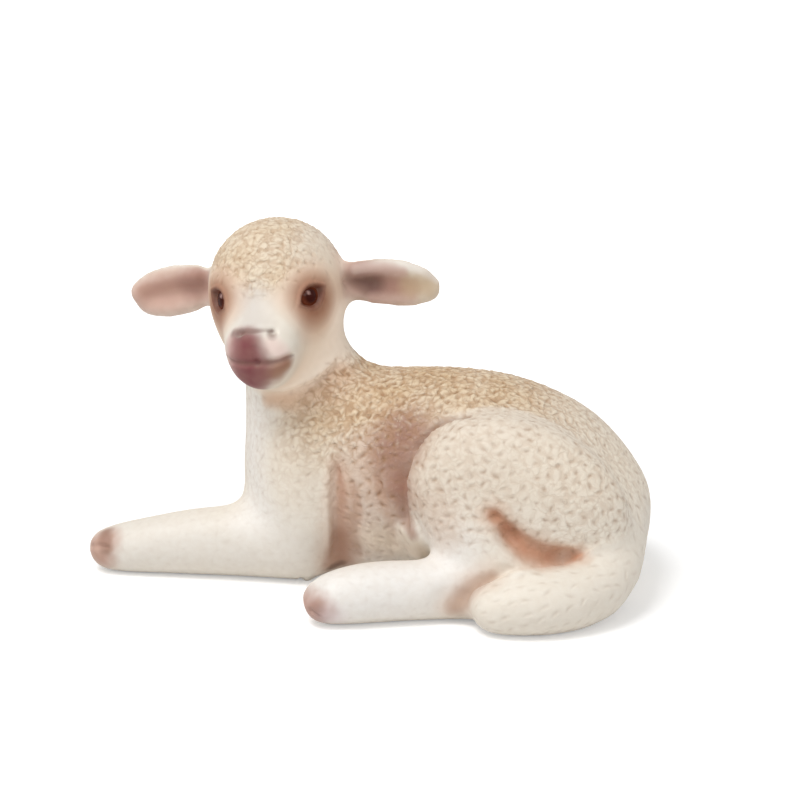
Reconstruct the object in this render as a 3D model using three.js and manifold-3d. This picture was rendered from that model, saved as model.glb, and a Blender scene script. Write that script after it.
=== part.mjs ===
// A lying lamb, a toy farm animal figure of painted vinyl, with its head turned to its left.
// Millimetres, +Z up. The body lies along X with the breast towards -X, and the lamb's left side faces -Y.
// The figure is moulded in nine solid pieces, because no two-part mould lets go of a turned head, spread
// ears, folded legs and a wrapped tail. Each piece is glued into a pocket or onto a peg of the next.
import * as THREE from "three";
import { mergeVertices } from "three/addons/utils/BufferGeometryUtils.js";
import Module from "manifold-3d";

const wasm = await Module();
wasm.setup();

// Driving sizes that the whole figure shares
const glueGap = 0.3; // between the faces of two pieces that are glued together
const legPegRadius = 1.5;
const neckPegRadius = 2.4;
const pegTaperShare = 0.85; // how much thinner a peg is at its tip

// The trunk: a barrel that lies on its belly, and a neck that stands on its breast
const barrelLength = 42.4;
const barrelWidth = 19.6;
const barrelHeight = 22;
const neckHeight = 20;
const neckWidth = 12.4;
const neckDepth = 14;
const neckPlaceShare = 0.175; // of the barrel's length, from the breast to the middle of the neck
const neckFootShare = 0.4; // of the barrel's height, where the neck's table starts

// The head: skull and muzzle in one loft, with full cheeks, turned and tilted about the skull's middle
const headLength = 10.6; // from the skull's middle to the tip of the nose
const headWidth = 14.4;
const headHeight = 8; // from the skull's middle up or down
const headRise = 29.6; // the skull's middle above the ground
const headPlaceShare = 0.1; // of the barrel's length, from the breast to the skull's middle
const headAsideShare = -0.08; // of the barrel's width
const headTurnDegrees = -86; // from +X, so that the face looks to the lamb's left
const headNodDegrees = 2;
const headTiltDegrees = 5;
const eyeRadius = 1.35;
const lidRadius = 1.85;
const nostrilRadius = 0.5;
const mouthRadius = 0.35;

// The ears: leaf-shaped, hollowed on the front
const earLength = 11.2;
const earWidth = 5.3;
const earThickness = 1.7;
const earWall = 0.7;
const earSweepDegrees = 15; // how far the ears lean back
const earDroopDegrees = 10;

// The forelegs: the left one reaches forward, the right one is folded beside the breast
const armHeight = 19;
const armDepth = 7.4;
const armWidth = 10;
const forearmLength = 22;
const forearmWidth = 7.4;
const forearmHeight = 8;
const foldLength = 11;
const foldWidth = 5.6;
const foldHeight = 6.4;

// The hind legs: a thigh against the flank, then a folded leg with its foot forward on the ground
const thighLength = 22;
const thighWidth = 9.2;
const thighHeight = 17;
const shankLength = 12;
const shankWidth = 6.8;
const shankHeight = 9;
const footLength = 23;
const footWidth = 5.8;
const footHeight = 6.2;
const footSplay = 7; // how far the toe stands out from the hock
const seatAsideShare = 0.28; // of the barrel's width, from the middle plane to the flat seat of the thigh

// The cloven hooves
const cleftLength = 2.4;
const cleftWidth = 0.6;

// The tail: round the rump and forward along the left side
const tailLength = 12;
const tailSpread = 15;
const tailRise = 13.5;
const tailThickness = 6.4;

// Facets: how many sides a section has and how many rings a loft has
const fine = { sides: 24, rings: 15 };
const medium = { sides: 16, rings: 10 };
const thin = { sides: 6, rings: 10 };
const ball = { sides: 16, rings: 10 };
const bead = { sides: 10, rings: 6 };
const capRings = 3;
const pegSides = 16;

const UP = new THREE.Vector3(0, 0, 1);
const FORWARD = new THREE.Vector3(-1, 0, 0);
const BACKWARD = new THREE.Vector3(1, 0, 0);
const LEFT = -1;
const RIGHT = 1;
const vinylColour = 0xe6d9c4;

function place(along, aside, up) {
  return new THREE.Vector3(along, aside, up);
}

// A closed three.js geometry as a solid that can be joined and cut
function solidOf(geometry) {
  const bare = new THREE.BufferGeometry();
  bare.setAttribute("position", geometry.getAttribute("position"));
  bare.setIndex(geometry.index);
  const merged = mergeVertices(bare);
  return new wasm.Manifold(
    new wasm.Mesh({
      numProp: 3,
      vertProperties: new Float32Array(merged.getAttribute("position").array),
      triVerts: new Uint32Array(merged.index.array),
    }),
  );
}

// The largest body of a cut solid, without the crumbs that a cut can leave
function largest(solid) {
  return solid.decompose().reduce((a, b) => (a.volume() > b.volume() ? a : b));
}

function joined(...solids) {
  return solids.reduce((a, b) => a.add(b));
}

// The part of a solid past a plane, on the side that the normal points to
function keep(solid, normal, distance) {
  return solid.trimByPlane(normal.toArray(), distance);
}

// An egg: a sphere with its own radius along each axis
function egg(centre, radii, grow = 0, facets = ball) {
  const geometry = new THREE.SphereGeometry(1, facets.sides, facets.rings);
  geometry.scale(radii.x + grow, radii.y + grow, radii.z + grow);
  geometry.translate(centre.x, centre.y, centre.z);
  return solidOf(geometry);
}

// A loft: a closed skin over oval sections that follow a curved spine.
// Each row of the table is one station: how far along, aside and up its centre lies, as shares of the
// reach, then how far the skin stands out to each side, above and below, as shares of the girth.
// The ends are rounded caps of their own length, and grow gives the same form with a thicker skin.
// The sections stand square to the spine, or to the direction they are told to face.
function loft({ start, reach, girth, rows, up = UP, facing, ends, facets = medium, grow = 0 }) {
  const spine = new THREE.CatmullRomCurve3(
    rows.map((row) => place(row[0], row[1], row[2]).multiply(reach).add(start)),
  );
  const swell = new THREE.CatmullRomCurve3(
    rows.map((row) => place(row[3], row[4], row[5]).multiply(girth)),
  );
  const stations = [];
  for (let i = capRings - 1; i > 0; i -= 1) {
    stations.push({ t: 0, cap: (-Math.PI / 2) * (i / capRings) });
  }
  for (let i = 0; i <= facets.rings; i += 1) {
    stations.push({ t: i / facets.rings, cap: 0 });
  }
  for (let i = 1; i < capRings; i += 1) {
    stations.push({ t: 1, cap: (Math.PI / 2) * (i / capRings) });
  }

  const capLength = (t) => (t < 1 / 2 ? ends[0] : ends[1]) + grow;
  const heading = (t) => facing ?? spine.getTangent(t);
  const tip = (t, sign) => spine.getPoint(t).addScaledVector(heading(t), sign * capLength(t));
  const points = tip(0, -1).toArray();
  for (const { t, cap } of stations) {
    const side = place(0, 0, 0).crossVectors(heading(t), up).normalize();
    const rise = place(0, 0, 0).crossVectors(side, heading(t));
    const centre = spine.getPoint(t).addScaledVector(heading(t), capLength(t) * Math.sin(cap));
    const size = swell.getPoint(t);
    for (let i = 0; i < facets.sides; i += 1) {
      const turn = (2 * Math.PI * i) / facets.sides;
      const height = Math.sin(turn) > 0 ? size.y : size.z;
      const point = centre
        .clone()
        .addScaledVector(side, Math.cos(turn) * (size.x + grow) * Math.cos(cap))
        .addScaledVector(rise, Math.sin(turn) * (height + grow) * Math.cos(cap));
      points.push(...point.toArray());
    }
  }
  points.push(...tip(1, 1).toArray());

  const faces = [];
  const ring = (k, i) => 1 + k * facets.sides + (i % facets.sides);
  const last = stations.length - 1;
  const far = 1 + stations.length * facets.sides;
  for (let i = 0; i < facets.sides; i += 1) {
    faces.push(0, ring(0, i), ring(0, i + 1));
    faces.push(far, ring(last, i + 1), ring(last, i));
    for (let k = 0; k < last; k += 1) {
      faces.push(ring(k, i), ring(k + 1, i + 1), ring(k, i + 1));
      faces.push(ring(k, i), ring(k + 1, i), ring(k + 1, i + 1));
    }
  }
  const geometry = new THREE.BufferGeometry();
  geometry.setAttribute("position", new THREE.Float32BufferAttribute(points, 3));
  geometry.setIndex(faces);
  return solidOf(geometry);
}

// A round peg between two points, a little thinner at its tip; grown, it is the peg's socket
function peg(from, to, radius, grow = 0) {
  const along = to.clone().sub(from);
  const length = along.length() + grow;
  const geometry = new THREE.CylinderGeometry(
    radius * pegTaperShare + grow,
    radius + grow,
    length,
    pegSides,
  );
  geometry.translate(0, length / 2, 0);
  const turn = new THREE.Quaternion().setFromUnitVectors(place(0, 1, 0), along.normalize());
  geometry.applyQuaternion(turn);
  geometry.translate(from.x, from.y, from.z);
  return solidOf(geometry);
}

// The trunk's barrel, from the breast to the rump
const barrelRows = [
  [0.04, 0, 0.5, 0.47, 0.23, 0.29],
  [0.09, 0, 0.5, 0.67, 0.35, 0.43],
  [0.19, 0, 0.5, 0.8, 0.44, 0.53],
  [0.31, 0, 0.5, 0.87, 0.47, 0.54],
  [0.42, 0, 0.5, 0.92, 0.48, 0.54],
  [0.54, 0, 0.5, 0.96, 0.49, 0.54],
  [0.66, 0, 0.49, 1, 0.48, 0.54],
  [0.78, 0, 0.46, 1, 0.44, 0.52],
  [0.87, 0, 0.43, 0.92, 0.35, 0.47],
  [0.94, 0, 0.39, 0.71, 0.24, 0.38],
  [0.98, 0, 0.36, 0.47, 0.16, 0.26],
];
const barrelEndShares = [0.03, 0.02];

function barrel() {
  return loft({
    start: place(0, 0, 0),
    reach: place(barrelLength, barrelWidth, barrelHeight),
    girth: place(barrelWidth / 2, barrelHeight, barrelHeight),
    rows: barrelRows,
    facing: BACKWARD,
    ends: barrelEndShares.map((share) => share * barrelLength),
    facets: fine,
  });
}

// The neck stands on the breast, so its table runs up, with the throat above and the nape below
const neckRows = [
  [-0.01, 0, 0.01, 0.9, 0.41, 0.54],
  [-0.07, 0, 0.26, 1.1, 0.41, 0.61],
  [-0.1, 0, 0.49, 1.03, 0.39, 0.66],
  [-0.11, 0, 0.65, 0.85, 0.36, 0.51],
  [-0.14, 0, 0.79, 0.74, 0.34, 0.37],
  [-0.16, 0, 0.98, 0.71, 0.3, 0.34],
];
const neckEndShare = 0.1;
const neckFoot = place(neckPlaceShare * barrelLength, 0, neckFootShare * barrelHeight);

function neck() {
  return loft({
    start: neckFoot,
    reach: place(neckDepth, neckWidth, neckHeight),
    girth: place(neckWidth / 2, neckDepth, neckDepth),
    rows: neckRows,
    up: FORWARD,
    facing: UP,
    ends: [neckEndShare * neckDepth, neckEndShare * neckDepth],
  });
}

// The head, in its own frame: X towards the nose, Y to the lamb's left, Z up, from the skull's middle
const headMiddle = place(headPlaceShare * barrelLength, headAsideShare * barrelWidth, headRise);
const headPose = new THREE.Matrix4().compose(
  headMiddle,
  new THREE.Quaternion().setFromEuler(
    new THREE.Euler(
      THREE.MathUtils.degToRad(headTiltDegrees),
      THREE.MathUtils.degToRad(headNodDegrees),
      THREE.MathUtils.degToRad(headTurnDegrees),
      "ZYX",
    ),
  ),
  place(1, 1, 1),
);

function inHeadPose(solid) {
  return solid.transform(headPose.toArray());
}

const headSize = place(headLength, headWidth / 2, headHeight);
const headRows = [
  [-0.6, 0, 0.04, 0.64, 0.55, 0.68],
  [-0.4, 0, 0, 0.89, 0.78, 0.95],
  [-0.11, 0, -0.04, 1, 0.89, 1.06],
  [0.17, 0, -0.07, 0.93, 0.84, 1.04],
  [0.42, 0, -0.15, 0.71, 0.66, 0.97],
  [0.58, 0, -0.29, 0.58, 0.45, 0.81],
  [0.74, 0, -0.4, 0.53, 0.35, 0.68],
  [0.87, 0, -0.49, 0.49, 0.34, 0.49],
];
const headEndShares = [0.12, 0.12];
const cheekPlaceShares = [-0.1, 0.36, -0.42];
const cheekSizeShares = [0.5, 0.54, 0.7];
const chinPlaceShares = [0.66, 0, -0.76];
const chinSizeShares = [0.27, 0.42, 0.3];

function head(grow = 0) {
  const skull = loft({
    start: place(0, 0, 0),
    reach: headSize,
    girth: place(headWidth / 2, headHeight, headHeight),
    rows: headRows,
    facing: BACKWARD,
    ends: headEndShares.map((share) => share * headLength),
    facets: fine,
    grow,
  });
  const cheeks = [LEFT, RIGHT].map((side) =>
    egg(
      place(cheekPlaceShares[0], side * cheekPlaceShares[1], cheekPlaceShares[2]).multiply(headSize),
      place(...cheekSizeShares).multiply(headSize),
      grow,
    ),
  );
  const chin = egg(
    place(...chinPlaceShares).multiply(headSize),
    place(...chinSizeShares).multiply(headSize),
    grow,
  );
  return joined(skull, ...cheeks, chin);
}

// The face: eyes set into sockets, nostrils, and a mouth that runs back to its corners
const eyePlaceShares = [0.35, 0.53, 0];
const eyeOutShares = [0.55, 0.83, 0]; // which way the eye looks
const socketOutShare = 1.45; // of the lid's radius, from the eye's middle to the middle of its socket
const nostrilPlaceShares = [0.97, 0.27, -0.28];
const nostrilSizeShares = [2, 1.1, 0.7]; // of the nostril's radius
const mouthRows = [
  [0.57, -0.53, -0.61, 1, 1, 1],
  [0.77, -0.48, -0.67, 1, 1, 1],
  [0.92, -0.27, -0.69, 1, 1, 1],
  [0.98, 0, -0.68, 1, 1, 1],
  [0.92, 0.27, -0.69, 1, 1, 1],
  [0.77, 0.48, -0.67, 1, 1, 1],
  [0.57, 0.53, -0.61, 1, 1, 1],
];

function facedHead() {
  let made = head().subtract(
    loft({
      start: place(0, 0, 0),
      reach: headSize,
      girth: place(mouthRadius, mouthRadius, mouthRadius),
      rows: mouthRows,
      ends: [mouthRadius, mouthRadius],
      facets: thin,
    }),
  );
  for (const side of [LEFT, RIGHT]) {
    const eye = place(eyePlaceShares[0], side * eyePlaceShares[1], eyePlaceShares[2]).multiply(headSize);
    const outward = place(eyeOutShares[0], side * eyeOutShares[1], eyeOutShares[2]).normalize();
    const socket = eye.clone().addScaledVector(outward, socketOutShare * lidRadius);
    const nostril = place(nostrilPlaceShares[0], side * nostrilPlaceShares[1], nostrilPlaceShares[2]);
    made = made
      .subtract(egg(socket, place(lidRadius, lidRadius, lidRadius)))
      .add(egg(eye, place(eyeRadius, eyeRadius, eyeRadius)))
      .subtract(
        egg(nostril.multiply(headSize), place(...nostrilSizeShares).multiplyScalar(nostrilRadius), 0, bead),
      );
  }
  return made;
}

// An ear is drawn out along its own length, then swept back and drooped at the side of the skull.
// Each row of its table, from the root to the tip: how far out and up the middle lies, as shares of the
// ear's length and width, then half the width and the thickness behind and in front.
const earRows = [
  [-0.04, 0, 0.6, 0.5, 0.5],
  [0.1, 0, 0.7, 0.55, 0.55],
  [0.32, 0, 0.95, 0.5, 0.5],
  [0.55, 0, 1, 0.45, 0.45],
  [0.78, -0.04, 0.86, 0.4, 0.4],
  [0.93, -0.07, 0.56, 0.3, 0.3],
];
const earRootShares = [-0.16, 0.84, 0];
const earEndShare = 0.05;
const hollowShiftShares = [0.6, 0.04]; // of the ear's thickness forward, and of its length outward

function earBlade(away, { inset = 0, ahead = 0, outward = 0, grow = 0 } = {}) {
  return loft({
    start: place(ahead, away * outward, 0),
    reach: place(earThickness, away * earLength, earWidth),
    girth: place(earWidth / 2 - inset, earThickness, earThickness),
    rows: earRows.map(([out, up, ...sizes]) => [0, out, up, ...sizes]),
    up: BACKWARD,
    ends: [earEndShare * earLength, earEndShare * earLength],
    grow,
  });
}

function earHollow(away) {
  return earBlade(away, {
    inset: earWall,
    ahead: hollowShiftShares[0] * earThickness,
    outward: hollowShiftShares[1] * earLength,
  });
}

// The head's Y runs to the lamb's left, against the figure's own, so each ear points away from its side
function atEarRoot(side, blade) {
  const away = -side;
  const pose = new THREE.Matrix4().compose(
    place(earRootShares[0], away * earRootShares[1], earRootShares[2]).multiply(headSize),
    new THREE.Quaternion().setFromEuler(
      new THREE.Euler(
        THREE.MathUtils.degToRad(-away * earDroopDegrees),
        0,
        THREE.MathUtils.degToRad(away * earSweepDegrees),
        "ZXY",
      ),
    ),
    place(1, 1, 1),
  );
  return inHeadPose(blade.transform(pose.toArray()));
}

function ear(side) {
  return atEarRoot(side, earBlade(-side).subtract(earHollow(-side)));
}

function earSpace(side) {
  return atEarRoot(side, earBlade(-side, { grow: glueGap }));
}

// A hoof is cloven: the cleft between its two toes runs back from the tip of a leg's form
function cleft({ start, reach, rows, ends }) {
  const centres = rows.map((row) => place(row[0], row[1], row[2]).multiply(reach).add(start));
  const [before, toe] = centres.slice(-2);
  const direction = toe.clone().sub(before).setZ(0).normalize();
  const front = toe.addScaledVector(direction, ends[1]);
  const geometry = new THREE.BoxGeometry(2 * cleftLength, cleftWidth, 2 * Math.abs(reach.z));
  geometry.rotateZ(Math.atan2(direction.y, direction.x));
  geometry.translate(front.x, front.y, 0);
  return solidOf(geometry);
}

// The left foreleg: an upper arm down the side of the breast, and a forearm forward along the ground
const armRows = [
  [0.2, -0.57, 1, 0.52, 0.43, 0.46],
  [0.06, -0.32, 0.84, 0.84, 0.68, 0.76],
  [0.08, -0.17, 0.63, 0.94, 0.76, 0.8],
  [0.16, -0.07, 0.42, 0.92, 0.7, 0.76],
  [0.28, -0.02, 0.25, 0.84, 0.59, 0.62],
];
const armLeanShares = [0.68, -0.4]; // of its depth and width, how far the table leans over its height
const armFootShares = [0.175, -0.26]; // of the barrel's length and width
const armEndShare = 0.2;
const forearmRows = [
  [0.02, 0, 0.53, 1.03, 0.49, 0.57],
  [-0.27, 0.15, 0.51, 0.97, 0.45, 0.55],
  [-0.55, 0.38, 0.46, 0.89, 0.38, 0.5],
  [-0.75, 0.55, 0.4, 0.81, 0.31, 0.44],
  [-0.88, 0.68, 0.36, 0.76, 0.26, 0.39],
  [-0.97, 0.75, 0.33, 0.65, 0.21, 0.34],
];
const elbowShares = [0.2, -0.26]; // of the barrel's length and width
const forearmSplayShare = -0.54; // of the forearm's width, how far the hoof stands out from the elbow
const forearmEndShares = [0.12, 0.07];
const armPegShares = { along: 0.18, from: -0.3, to: 0.1, up: 0.42 };

const armForm = {
  start: place(armFootShares[0] * barrelLength, armFootShares[1] * barrelWidth, 0),
  reach: place(armLeanShares[0] * armDepth, armLeanShares[1] * armWidth, armHeight),
  girth: place(armWidth / 2, armDepth, armDepth),
  rows: armRows,
  up: FORWARD,
  ends: [armEndShare * armDepth, armEndShare * armDepth],
};
const forearmForm = {
  start: place(elbowShares[0] * barrelLength, elbowShares[1] * barrelWidth, 0),
  reach: place(forearmLength, forearmSplayShare * forearmWidth, forearmHeight),
  girth: place(forearmWidth / 2, forearmHeight, forearmHeight),
  rows: forearmRows,
  ends: forearmEndShares.map((share) => share * forearmLength),
};

// The plug of a leg, across the barrel
function legPeg({ along, from, to, up }, grow) {
  const at = (aside) => place(along * barrelLength, aside * barrelWidth, up * barrelHeight);
  return peg(at(from), at(to), legPegRadius, grow);
}

function leftForeleg(grow = 0) {
  return joined(loft({ ...armForm, grow }), loft({ ...forearmForm, grow }), legPeg(armPegShares, grow));
}

// The right foreleg is folded: the forearm runs forward to the knee, the shin comes back beside it
const foldRows = [
  [1, -0.05, 0.8, 1.06, 0.5, 0.56],
  [0.55, 0.02, 0.75, 1.03, 0.47, 0.56],
  [0.12, 0.1, 0.63, 0.93, 0.41, 0.5],
];
const shinRows = [
  [0.12, 0.25, 0.44, 0.8, 0.34, 0.41],
  [0.5, 0.58, 0.39, 0.72, 0.31, 0.36],
  [0.9, 0.75, 0.37, 0.7, 0.3, 0.35],
  [1.08, 0.78, 0.33, 0.6, 0.23, 0.3],
];
const foldEndShares = [0.14, 0.12];
const kneeShares = [0.01, 0.31]; // of the barrel's length and width
const foldPegShares = { along: 0.19, from: 0.36, to: -0.02, up: 0.24 };

const foldForm = {
  start: place(kneeShares[0] * barrelLength, kneeShares[1] * barrelWidth, 0),
  reach: place(foldLength, foldWidth, foldHeight),
  girth: place(foldWidth / 2, foldHeight, foldHeight),
  rows: foldRows,
  ends: foldEndShares.map((share) => share * foldLength),
};
const shinForm = { ...foldForm, rows: shinRows };

function rightForeleg(grow = 0) {
  return joined(loft({ ...foldForm, grow }), loft({ ...shinForm, grow }), legPeg(foldPegShares, grow));
}

// A hind leg. The lamb leans on its right hip, so its right thigh lies lower and its right foot nearer.
const thighRows = [
  [0.12, 0.2, 0.48, 0.65, 0.27, 0.26],
  [0.25, 0.15, 0.51, 0.91, 0.42, 0.44],
  [0.44, 0.1, 0.51, 1, 0.48, 0.5],
  [0.62, 0, 0.47, 1, 0.46, 0.49],
  [0.81, -0.22, 0.41, 0.91, 0.36, 0.41],
  [0.94, -0.5, 0.35, 0.7, 0.24, 0.29],
];
const shankRows = [
  [0.18, -0.2, 1.18, 0.88, 0.51, 0.51],
  [0.37, -0.03, 1, 1.03, 0.56, 0.56],
  [0.67, 0.17, 0.73, 1.06, 0.51, 0.53],
  [0.98, 0.27, 0.49, 0.91, 0.4, 0.42],
];
const footRows = [
  [-0.01, 0.01, 0.55, 0.93, 0.45, 0.55],
  [0.22, 0.16, 0.5, 0.93, 0.47, 0.52],
  [0.46, 0.37, 0.5, 0.97, 0.48, 0.52],
  [0.67, 0.64, 0.5, 1, 0.48, 0.52],
  [0.83, 0.86, 0.45, 0.93, 0.4, 0.47],
  [0.9, 0.96, 0.39, 0.76, 0.29, 0.4],
];
const thighAsideShare = 0.43; // of the thigh's width, how far its middle moves in from hip to rump
const thighEndShare = 0.07;
const shankAsideShare = 0.44;
const shankEndShare = 0.12;
const footEndShares = [0.08, 0.05];
const thighPlaceShares = { along: 0.45, aside: 0.39, up: 0.155 }; // of the barrel's three sizes
const shankPlaceShares = { along: 0.52, aside: 0.51, up: 0 };
const footPlaceShares = { along: 0.78, aside: 0.53, up: 0 };
const hindPegShares = { along: 0.68, from: 0.4, to: 0.07, up: 0.4 };
const stances = {
  [LEFT]: { thighDropShare: 0, legBackShare: 0, legInShare: 0, shankRiseShare: 1, splayShare: 1 },
  [RIGHT]: { thighDropShare: 0.19, legBackShare: 0.07, legInShare: 0.06, shankRiseShare: 0.78, splayShare: 0.3 },
};

function atBarrel(side, { along, aside, up }) {
  return place(along * barrelLength, side * aside * barrelWidth, up * barrelHeight);
}

// The lower leg's places, moved back and in as its side's stance asks
function lowerLegPlace(side, { along, aside, up }) {
  const { legBackShare, legInShare } = stances[side];
  return atBarrel(side, { along: along + legBackShare, aside: aside - legInShare, up });
}

function footForm(side) {
  return {
    start: lowerLegPlace(side, footPlaceShares),
    reach: place(-footLength, side * stances[side].splayShare * footSplay, footHeight),
    girth: place(footWidth / 2, footHeight, footHeight),
    rows: footRows,
    ends: footEndShares.map((share) => share * footLength),
  };
}

function hindLeg(side, grow = 0) {
  const { thighDropShare, shankRiseShare } = stances[side];
  const thigh = loft({
    start: atBarrel(side, { ...thighPlaceShares, up: thighPlaceShares.up - thighDropShare }),
    reach: place(thighLength, side * thighAsideShare * thighWidth, thighHeight),
    girth: place(thighWidth / 2, thighHeight, thighHeight),
    rows: thighRows,
    ends: [thighEndShare * thighLength, thighEndShare * thighLength],
    grow,
  });
  const shank = loft({
    start: lowerLegPlace(side, shankPlaceShares),
    reach: place(shankLength, side * shankAsideShare * shankWidth, shankRiseShare * shankHeight),
    girth: place(shankWidth / 2, shankHeight, shankHeight),
    rows: shankRows,
    ends: [shankEndShare * shankLength, shankEndShare * shankLength],
    grow,
  });
  const seat = seatAsideShare * barrelWidth + (grow > 0 ? 0 : glueGap);
  const outside = keep(joined(thigh, shank, loft({ ...footForm(side), grow })), place(0, side, 0), seat);
  const { along, from, to, up } = hindPegShares;
  return joined(outside, legPeg({ along, from: side * from, to: side * to, up }, grow));
}

// The tail starts in the rump, turns down to the ground and lies forward along the left side
const tailRows = [
  [0.62, 0, 0.92, 0.75, 0.37, 0.37],
  [0.85, 0.05, 0.7, 0.91, 0.45, 0.45],
  [0.93, 0.32, 0.43, 0.97, 0.48, 0.48],
  [0.82, 0.64, 0.26, 1, 0.5, 0.53],
  [0.53, 0.88, 0.23, 0.97, 0.48, 0.52],
  [0.18, 0.99, 0.21, 0.84, 0.42, 0.47],
  [-0.01, 1.02, 0.19, 0.66, 0.31, 0.39],
];
const tailPlaceShare = 0.685;
const tailEndShare = 0.2;

function tail(grow = 0) {
  return loft({
    start: place(tailPlaceShare * barrelLength, 0, 0),
    reach: place(tailLength, -tailSpread, tailRise),
    girth: place(tailThickness / 2, tailThickness, tailThickness),
    rows: tailRows,
    ends: [tailEndShare * tailThickness, tailEndShare * tailThickness],
    grow,
  });
}

// The head's peg stands down into the neck
const neckPegShares = [1, 0.3]; // of the neck's height, where it starts and ends
function neckPeg(grow = 0) {
  const at = (share) => place(headMiddle.x, 0, neckFoot.z + share * neckHeight);
  return peg(at(neckPegShares[0]), at(neckPegShares[1]), neckPegRadius, grow);
}

// Each piece with its solid, and the space that the pieces after it have to leave for it
const pieces = [
  { name: "left_ear", solid: ear(LEFT), space: earSpace(LEFT) },
  { name: "right_ear", solid: ear(RIGHT), space: earSpace(RIGHT) },
  {
    name: "head",
    solid: inHeadPose(facedHead()).add(neckPeg()),
    space: inHeadPose(head(glueGap)).add(neckPeg(glueGap)),
  },
  { name: "tail", solid: tail(), space: tail(glueGap) },
  {
    name: "left_foreleg",
    solid: leftForeleg().subtract(cleft(forearmForm)),
    space: leftForeleg(glueGap),
  },
  {
    name: "right_foreleg",
    solid: rightForeleg().subtract(cleft(shinForm)),
    space: rightForeleg(glueGap),
  },
  {
    name: "left_hind_leg",
    solid: hindLeg(LEFT).subtract(cleft(footForm(LEFT))),
    space: hindLeg(LEFT, glueGap),
  },
  {
    name: "right_hind_leg",
    solid: hindLeg(RIGHT).subtract(cleft(footForm(RIGHT))),
    space: hindLeg(RIGHT, glueGap),
  },
  { name: "trunk", solid: joined(barrel(), neck()) },
];

const lamb = new THREE.Group();
pieces.forEach(({ name, solid }, index) => {
  const cut = pieces.slice(0, index).reduce((made, other) => made.subtract(other.space), solid);
  const { vertProperties, triVerts } = largest(keep(cut, UP, 0)).getMesh();
  const geometry = new THREE.BufferGeometry();
  geometry.setAttribute("position", new THREE.Float32BufferAttribute(vertProperties, 3));
  geometry.setIndex(new THREE.BufferAttribute(triVerts, 1));
  geometry.computeVertexNormals();
  const material = new THREE.MeshStandardMaterial({ color: vinylColour, roughness: 0.6, metalness: 0 });
  const mesh = new THREE.Mesh(geometry, material);
  mesh.name = name;
  lamb.add(mesh);
});

// The origin is under the middle of the figure, on the ground
const middle = new THREE.Box3().setFromObject(lamb).getCenter(place(0, 0, 0));
lamb.position.set(-middle.x, -middle.y, 0);

export default lamb;
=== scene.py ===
# %% [markdown]
# A lying lamb of painted vinyl
#
# The real figure is sculpted in one go, moulded in nine solid pieces, glued, and then sprayed with matt
# paint. The sculptor's seams don't show. So this lesson works in the same order: it takes the nine plain
# solids of the frame as an armature, lays one skin over them, models the face and the wool in that skin,
# cuts it apart again at the old seams, and paints it.

# %% Load the fixed frame
import math

import bmesh
import bpy
import numpy as np
from mathutils import Euler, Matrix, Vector, noise
from mathutils.bvhtree import BVHTree
from mathutils.kdtree import KDTree


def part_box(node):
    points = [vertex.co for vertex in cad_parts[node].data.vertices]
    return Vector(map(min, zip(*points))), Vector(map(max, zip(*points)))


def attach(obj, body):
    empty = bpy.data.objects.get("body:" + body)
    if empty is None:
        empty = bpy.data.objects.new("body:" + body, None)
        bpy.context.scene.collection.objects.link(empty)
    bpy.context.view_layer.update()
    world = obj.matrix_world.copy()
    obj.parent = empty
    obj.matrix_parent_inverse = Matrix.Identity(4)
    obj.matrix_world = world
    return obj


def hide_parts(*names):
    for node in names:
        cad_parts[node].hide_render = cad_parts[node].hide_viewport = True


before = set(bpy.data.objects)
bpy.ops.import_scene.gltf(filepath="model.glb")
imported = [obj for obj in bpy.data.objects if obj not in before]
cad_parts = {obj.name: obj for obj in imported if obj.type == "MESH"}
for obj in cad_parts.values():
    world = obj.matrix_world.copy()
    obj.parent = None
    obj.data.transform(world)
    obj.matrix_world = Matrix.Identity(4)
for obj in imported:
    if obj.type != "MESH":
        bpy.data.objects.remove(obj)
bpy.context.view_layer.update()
MM = 0.001
print("pieces of the frame:", sorted(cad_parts))

# %% [markdown]
# The camera stands where the photographer stood. The figure is small, so the camera is near, at 230 mm,
# and its picture shows a little perspective. It is aimed at a point inside the breast, which the
# photograph shows left of and below its own middle, and a small shift puts it there.

# %% The camera
PHOTO_SIDE = 800
AIM_PIXEL = (384, 428)
PIXELS_PER_MM = 9.75
CAMERA_DISTANCE = 230 * MM
CAMERA_TURN = math.radians(14)
CAMERA_RISE = math.radians(18)
SENSOR_WIDTH = 36
BREAST_BEFORE_TRUNK = 0.42 * MM
MIDLINE = 2.718 * MM
AIM_FROM_BREAST = Vector((15.2, 0, 15)) * MM

trunk_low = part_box("trunk")[0]
breast = Vector((trunk_low.x - BREAST_BEFORE_TRUNK, MIDLINE, 0))
aim = breast + AIM_FROM_BREAST

backward = Vector(
    (
        math.sin(CAMERA_TURN) * math.cos(CAMERA_RISE),
        -math.cos(CAMERA_TURN) * math.cos(CAMERA_RISE),
        math.sin(CAMERA_RISE),
    )
)
camera_place = aim + backward * CAMERA_DISTANCE
lens = bpy.data.cameras.new("photo_lens")
lens.sensor_width = SENSOR_WIDTH
lens.lens = PIXELS_PER_MM / MM * CAMERA_DISTANCE / PHOTO_SIDE * lens.sensor_width
lens.shift_x = 0.5 - AIM_PIXEL[0] / PHOTO_SIDE
lens.shift_y = AIM_PIXEL[1] / PHOTO_SIDE - 0.5
lens.clip_start = 5 * MM
camera = bpy.data.objects.new("photo_camera", lens)
camera.location = camera_place
camera.rotation_euler = backward.to_track_quat("Z", "Y").to_euler()
bpy.context.scene.collection.objects.link(camera)
bpy.context.scene.camera = camera
print("lens", round(lens.lens, 1), "mm, shift", round(lens.shift_x, 4), round(lens.shift_y, 4))


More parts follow.
